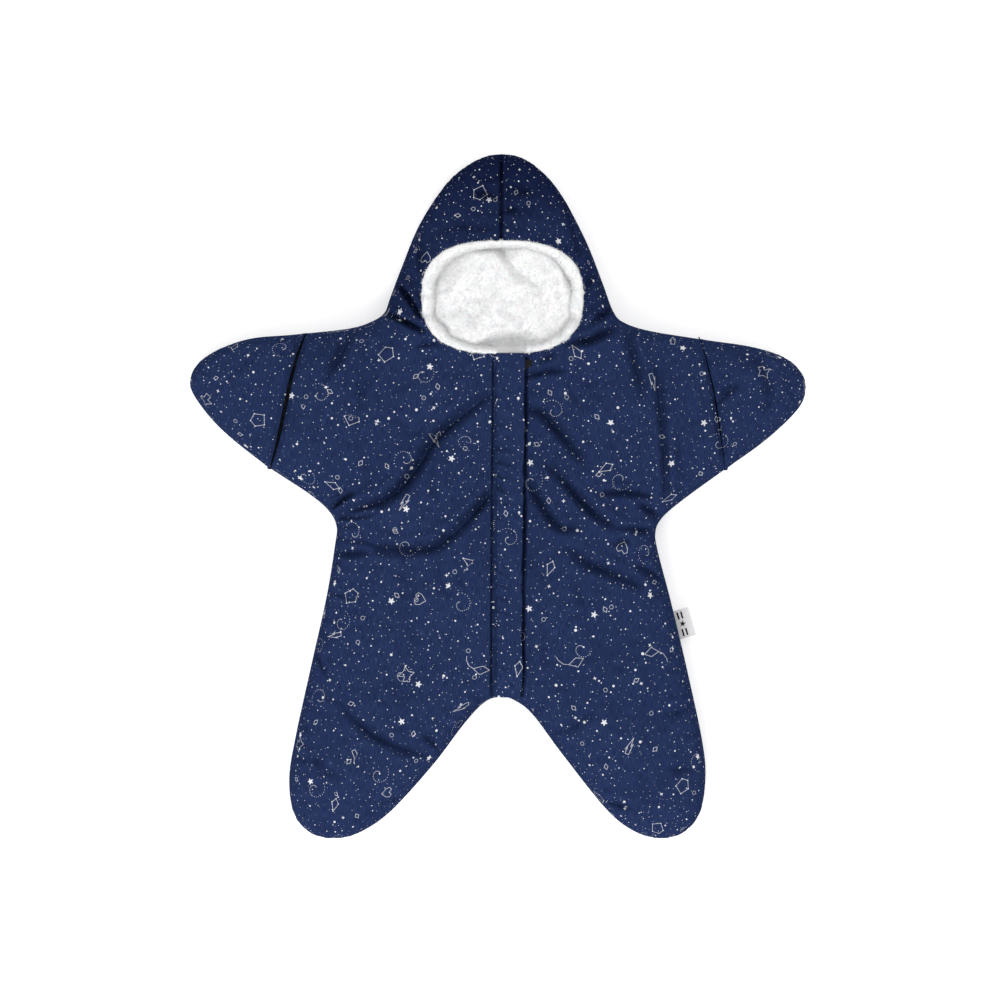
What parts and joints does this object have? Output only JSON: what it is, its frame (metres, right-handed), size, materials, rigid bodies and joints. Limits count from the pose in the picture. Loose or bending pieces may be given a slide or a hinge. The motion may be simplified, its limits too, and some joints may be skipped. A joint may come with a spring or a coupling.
{
  "type": "baby sleeping bag",
  "caption": "Star-shaped padded baby sleeping bag with hood, closed sleeves and legs, plush lining and a front zip under a placket.",
  "frame": {"origin": "centre of the underside as the bag lies flat on its back", "axes": "+Z out of the front, +Y towards the tip of the hood, +X towards the side label"},
  "size_m": [0.612, 0.682, 0.071],
  "materials": {
    "navy_cotton": "printed satin cotton with small pale dots",
    "wadding": "soft fibre filling",
    "plush": "white plush",
    "zip_tape": "woven tape",
    "zip_teeth": "moulded coil",
    "zip_metal": "dark enamelled zinc",
    "pull_rubber": "matt black",
    "label_satin": "pale satin ribbon"
  },
  "bodies": {
    "bag": {"back_shell": "navy_cotton", "back_wadding": "wadding", "back_lining": "plush", "hood_left_shell": "navy_cotton", "hood_right_shell": "navy_cotton", "hood_wadding": "wadding", "hood_lining": "plush", "zip_bottom_stop": "zip_metal", "side_label": "label_satin", "front_left_shell": "navy_cotton", "front_left_wadding": "wadding", "front_left_lining": "plush", "left_sleeve_end_shell": "navy_cotton", "left_sleeve_end_wadding": "wadding", "left_sleeve_end_lining": "plush", "front_right_shell": "navy_cotton", "front_right_wadding": "wadding", "front_right_lining": "plush", "right_sleeve_end_shell": "navy_cotton", "right_sleeve_end_wadding": "wadding", "right_sleeve_end_lining": "plush"},
    "left_lapel": {"left_lapel_shell": "navy_cotton", "left_lapel_wadding": "wadding", "left_lapel_lining": "plush", "zip_tape_left": "zip_tape", "zip_teeth_left": "zip_teeth", "zip_top_stop_left": "zip_metal", "placket_seam": "navy_cotton"},
    "right_lapel": {"right_lapel_shell": "navy_cotton", "right_lapel_wadding": "wadding", "right_lapel_lining": "plush", "zip_tape_right": "zip_tape", "zip_teeth_right": "zip_teeth", "zip_top_stop_right": "zip_metal"},
    "placket": {"placket": "navy_cotton"},
    "slider": {"zip_slider": "zip_metal"},
    "pull_tab": {"zip_pull_tab": "pull_rubber"}
  },
  "joints": [
    {"name": "left_lapel_fold", "type": "hinge", "parent": "bag", "child": "left_lapel", "pos_m": [-0.044, -0.18, 0.063], "axis": [0.0849, -0.9964, 0], "range_deg": [0, 110]},
    {"name": "right_lapel_fold", "type": "hinge", "parent": "bag", "child": "right_lapel", "pos_m": [0.052, -0.18, 0.063], "axis": [-0.0849, -0.9964, 0], "range_deg": [-110, 0]},
    {"name": "placket_fold", "type": "hinge", "parent": "left_lapel", "child": "placket", "pos_m": [-0.003, -0.026, 0.071], "axis": [0, -1, 0], "range_deg": [0, 165]},
    {"name": "zip_slide", "type": "slide", "parent": "left_lapel", "child": "slider", "axis": [0, -1, 0], "range_m": [0, 0.301]},
    {"name": "pull_tab_swing", "type": "hinge", "parent": "slider", "child": "pull_tab", "pos_m": [0.004, 0.1305, 0.0671], "axis": [0, -1, 0], "range_deg": [0, 132]}
  ],
  "couplings": [
    {"joint": "right_lapel_fold", "follows": "left_lapel_fold", "ratio": -1},
    {"joint": "pull_tab_swing", "follows": "placket_fold", "ratio": 0.8}
  ]
}
